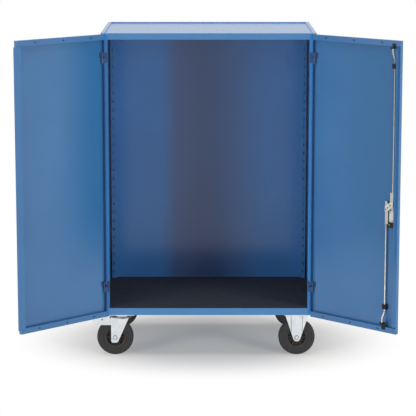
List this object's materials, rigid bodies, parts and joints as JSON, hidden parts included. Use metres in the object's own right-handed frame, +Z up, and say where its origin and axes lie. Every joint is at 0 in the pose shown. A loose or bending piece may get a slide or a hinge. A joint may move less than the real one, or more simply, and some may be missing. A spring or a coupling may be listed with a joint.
{
  "type": "cupboard trolley",
  "caption": "Sheet-steel cupboard on castors, with two hinged doors, an espagnolette lock with rods, slotted shelf uprights and a rubber floor mat.",
  "frame": {"origin": "centre of the overall outline with the doors open, on the ground", "axes": "+Z up, the front with the doors faces -Y, +X is the viewer's right when facing the front"},
  "size_m": [1.985, 1.1738, 1.775],
  "materials": {
    "blue_paint": "satin powder coat",
    "light_blue_paint": "satin powder coat",
    "ribbed_rubber": "matt, ribbed",
    "hinge_zinc": "dull zinc",
    "zinc_plate": "bright zinc",
    "rod_steel": "drawn steel",
    "grey_casting": "satin casting",
    "black_plastic": "fine grain",
    "plug_brass": "nickelled",
    "tyre_rubber": "matt",
    "rim_plastic": "matt"
  },
  "bodies": {
    "cabinet": {"top_panel": "light_blue_paint", "floor_tray": "blue_paint", "back_panel": "blue_paint", "rubber_mat": "ribbed_rubber", "left_side_panel": "blue_paint", "right_side_panel": "blue_paint", "rear_left_slotted_upright": "blue_paint", "rear_right_slotted_upright": "blue_paint", "front_left_slotted_upright": "blue_paint", "front_right_slotted_upright": "blue_paint", "left_castor_channel": "blue_paint", "right_castor_channel": "blue_paint", "left_upper_hinge_frame_leaf": "hinge_zinc", "left_lower_hinge_frame_leaf": "hinge_zinc", "right_upper_hinge_frame_leaf": "hinge_zinc", "right_lower_hinge_frame_leaf": "hinge_zinc", "left_upper_hinge_pin": "zinc_plate", "left_lower_hinge_pin": "zinc_plate", "right_upper_hinge_pin": "zinc_plate", "right_lower_hinge_pin": "zinc_plate", "front_swivel_castor_plate": "zinc_plate", "rear_swivel_castor_plate": "zinc_plate", "front_fixed_castor_bracket": "zinc_plate", "rear_fixed_castor_bracket": "zinc_plate", "front_fixed_castor_axle": "zinc_plate", "rear_fixed_castor_axle": "zinc_plate"},
    "left_door": {"left_door_panel": "blue_paint", "door_overlap_strip": "blue_paint", "left_upper_hinge_door_leaf": "blue_paint", "left_lower_hinge_door_leaf": "blue_paint"},
    "right_door": {"right_door_panel": "blue_paint", "right_upper_hinge_door_leaf": "blue_paint", "right_lower_hinge_door_leaf": "blue_paint", "handle_base": "black_plastic", "rack_cover": "grey_casting", "lock_block": "grey_casting", "lock_retainer": "black_plastic", "upper_rod_guide": "black_plastic", "lower_rod_guide": "black_plastic", "upper_rod_end_guide": "black_plastic", "lower_rod_end_guide": "black_plastic"},
    "handle": {"handle_spindle": "grey_casting"},
    "lever": {"swing_lever": "black_plastic"},
    "key_plug": {"lock_plug": "plug_brass"},
    "upper_rod": {"upper_locking_rod": "rod_steel"},
    "lower_rod": {"lower_locking_rod": "rod_steel"},
    "front_swivel_fork": {"front_swivel_castor_fork": "zinc_plate", "front_swivel_castor_axle": "zinc_plate"},
    "front_swivel_wheel": {"front_swivel_castor_rim": "rim_plastic", "front_swivel_castor_tyre": "tyre_rubber"},
    "front_brake_pedal": {"front_swivel_castor_brake_pedal": "zinc_plate"},
    "front_fixed_wheel": {"front_fixed_castor_rim": "rim_plastic", "front_fixed_castor_tyre": "tyre_rubber"},
    "rear_swivel_fork": {"rear_swivel_castor_fork": "zinc_plate", "rear_swivel_castor_axle": "zinc_plate"},
    "rear_swivel_wheel": {"rear_swivel_castor_rim": "rim_plastic", "rear_swivel_castor_tyre": "tyre_rubber"},
    "rear_brake_pedal": {"rear_swivel_castor_brake_pedal": "zinc_plate"},
    "rear_fixed_wheel": {"rear_fixed_castor_rim": "rim_plastic", "rear_fixed_castor_tyre": "tyre_rubber"}
  },
  "joints": [
    {"name": "left_door_swing", "type": "hinge", "parent": "cabinet", "child": "left_door", "pos_m": [-0.566, -0.18663, 1.003], "axis": [0, 0, 1], "range_deg": [-42, 138]},
    {"name": "right_door_swing", "type": "hinge", "parent": "cabinet", "child": "right_door", "pos_m": [0.566, -0.18663, 1.003], "axis": [0, 0, -1], "range_deg": [-42, 138]},
    {"name": "handle_turn", "type": "hinge", "parent": "right_door", "child": "handle", "pos_m": [0.95831, -0.50488, 0.904], "axis": [-0.6691, -0.7431, 0], "range_deg": [0, 90]},
    {"name": "lever_lift", "type": "hinge", "parent": "handle", "child": "lever", "pos_m": [0.95831, -0.50488, 0.904], "axis": [0, 0, -1], "range_deg": [0, 30]},
    {"name": "key_turn", "type": "hinge", "parent": "right_door", "child": "key_plug", "pos_m": [0.95396, -0.50971, 0.808], "axis": [-0.6691, -0.7431, 0], "range_deg": [0, 90]},
    {"name": "upper_rod_slide", "type": "slide", "parent": "right_door", "child": "upper_rod", "axis": [0, 0, 1], "range_m": [0, 0.0189]},
    {"name": "lower_rod_slide", "type": "slide", "parent": "right_door", "child": "lower_rod", "axis": [0, 0, -1], "range_m": [0, 0.0189]},
    {"name": "front_castor_swivel", "type": "hinge", "parent": "cabinet", "child": "front_swivel_fork", "pos_m": [-0.475, -0.10813, 0.215], "axis": [0, 0, 1], "continuous": true},
    {"name": "front_swivel_wheel_roll", "type": "hinge", "parent": "front_swivel_fork", "child": "front_swivel_wheel", "pos_m": [-0.513, -0.10813, 0.1], "axis": [0, 1, 0], "continuous": true},
    {"name": "front_brake_press", "type": "hinge", "parent": "front_swivel_fork", "child": "front_brake_pedal", "pos_m": [-0.523, -0.10813, 0.185], "axis": [0, -1, 0], "range_deg": [0, 10]},
    {"name": "front_fixed_wheel_roll", "type": "hinge", "parent": "cabinet", "child": "front_fixed_wheel", "pos_m": [0.484, -0.10813, 0.1], "axis": [0, 1, 0], "continuous": true},
    {"name": "rear_castor_swivel", "type": "hinge", "parent": "cabinet", "child": "rear_swivel_fork", "pos_m": [-0.475, 0.49187, 0.215], "axis": [0, 0, 1], "continuous": true},
    {"name": "rear_swivel_wheel_roll", "type": "hinge", "parent": "rear_swivel_fork", "child": "rear_swivel_wheel", "pos_m": [-0.513, 0.49187, 0.1], "axis": [0, 1, 0], "continuous": true},
    {"name": "rear_brake_press", "type": "hinge", "parent": "rear_swivel_fork", "child": "rear_brake_pedal", "pos_m": [-0.523, 0.49187, 0.185], "axis": [0, -1, 0], "range_deg": [0, 10]},
    {"name": "rear_fixed_wheel_roll", "type": "hinge", "parent": "cabinet", "child": "rear_fixed_wheel", "pos_m": [0.484, 0.49187, 0.1], "axis": [0, 1, 0], "continuous": true}
  ],
  "couplings": [
    {"joint": "upper_rod_slide", "follows": "handle_turn", "m_per_rad": 0.012},
    {"joint": "lower_rod_slide", "follows": "handle_turn", "m_per_rad": 0.012}
  ]
}
